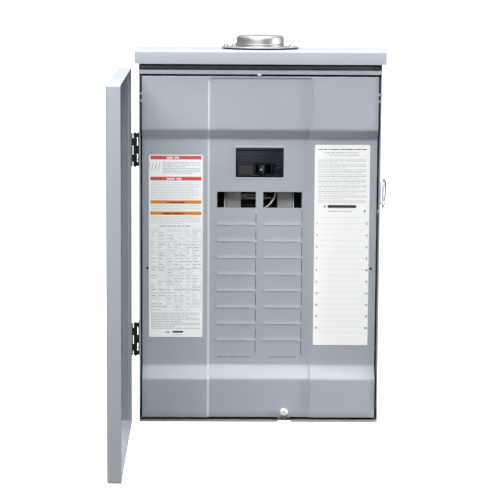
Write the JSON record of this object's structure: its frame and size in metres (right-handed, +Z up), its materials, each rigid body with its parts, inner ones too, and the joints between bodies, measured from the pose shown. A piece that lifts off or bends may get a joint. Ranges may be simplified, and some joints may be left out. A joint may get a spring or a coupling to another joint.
{
  "type": "residential load center",
  "caption": "Wall-mounted grey steel outdoor electrical panel: hinged door, dead front with breaker spaces, main breaker, bus bars, rain hood and closed conduit opening.",
  "frame": {"origin": "middle of the enclosure's back face from side to side, 270 mm above its bottom edge, in the plane of the wall", "axes": "+Z up, +Y into the wall, so the front looks towards -Y and +X is to the right of a person facing it"},
  "size_m": [0.4045, 0.4564, 0.5878],
  "materials": {
    "painted_steel": "light grey powder coat, satin with a fine orange-peel texture",
    "galvanised_steel": "galvanised sheet with faint spangle",
    "zinc": "bright zinc plating",
    "tinned_metal": "bright tin plating",
    "aluminium": "extruded, satin",
    "black_steel": "black oxide with a light oil sheen",
    "black_plastic": "moulded thermoset, fine texture",
    "dark_plastic": "moulded insulation, matte",
    "label": "printed adhesive film, semi-matte",
    "green_screw": "green-dyed zinc plating",
    "rubber": "soft gasket, matte"
  },
  "bodies": {
    "enclosure": {"back_box": "painted_steel", "bottom_endwall": "painted_steel", "top_header": "painted_steel", "rain_hood": "painted_steel", "cover_screw_bracket": "galvanised_steel", "door_catch": "zinc", "hub_gasket": "rubber", "hub_closing_cap": "galvanised_steel", "hub_cap_screw_left": "zinc", "hub_cap_screw_right": "zinc", "hub_cap_screw_rear": "zinc", "dead_front": "painted_steel", "dead_front_screw": "zinc", "wiring_label": "label", "directory_label": "label", "interior_pan": "galvanised_steel", "interior_pan_screw_1": "zinc", "interior_pan_screw_2": "zinc", "interior_pan_screw_3": "zinc", "interior_pan_screw_4": "zinc", "insulating_base": "dark_plastic", "left_bus_bar": "tinned_metal", "right_bus_bar": "tinned_metal", "load_strap_left": "tinned_metal", "load_strap_right": "tinned_metal", "load_bolt_left": "zinc", "load_bolt_right": "zinc", "left_breaker_rail": "galvanised_steel", "right_breaker_rail": "galvanised_steel", "main_breaker_case": "black_plastic", "line_lug_left": "aluminium", "line_lug_right": "aluminium", "line_lug_screw_left": "zinc", "line_lug_screw_right": "zinc", "left_neutral_bar": "aluminium", "right_neutral_bar": "aluminium", "left_neutral_support": "dark_plastic", "right_neutral_support": "dark_plastic", "neutral_cross_strap": "aluminium", "bonding_screw": "green_screw", "neutral_lug": "aluminium", "neutral_lug_screw": "zinc", "bus_jumper": "tinned_metal", "ground_bar": "aluminium", "ground_bar_screw_1": "zinc", "ground_bar_screw_2": "zinc", "upper_hinge_box_leaf": "black_steel", "upper_hinge_pin": "black_steel", "lower_hinge_box_leaf": "black_steel", "lower_hinge_pin": "black_steel", "hasp_bracket": "zinc"},
    "door": {"door_panel": "painted_steel", "upper_hinge_door_leaf": "black_steel", "lower_hinge_door_leaf": "black_steel"},
    "breaker_handle": {"main_breaker_handle": "black_plastic"},
    "hasp": {"padlock_hasp": "zinc"}
  },
  "joints": [
    {"name": "door_hinge", "type": "hinge", "parent": "enclosure", "child": "door", "pos_m": [-0.187, -0.0864, 0], "axis": [0, 0, 1], "range_deg": [-20, 90]},
    {"name": "breaker_throw", "type": "hinge", "parent": "enclosure", "child": "breaker_handle", "pos_m": [0.008, -0.058, 0.1157], "axis": [0, 0, 1], "range_deg": [0, 28]},
    {"name": "hasp_swing", "type": "hinge", "parent": "enclosure", "child": "hasp", "pos_m": [0.1856, -0.085, 0.08], "axis": [0, 0, 1], "range_deg": [-165, 0]}
  ]
}
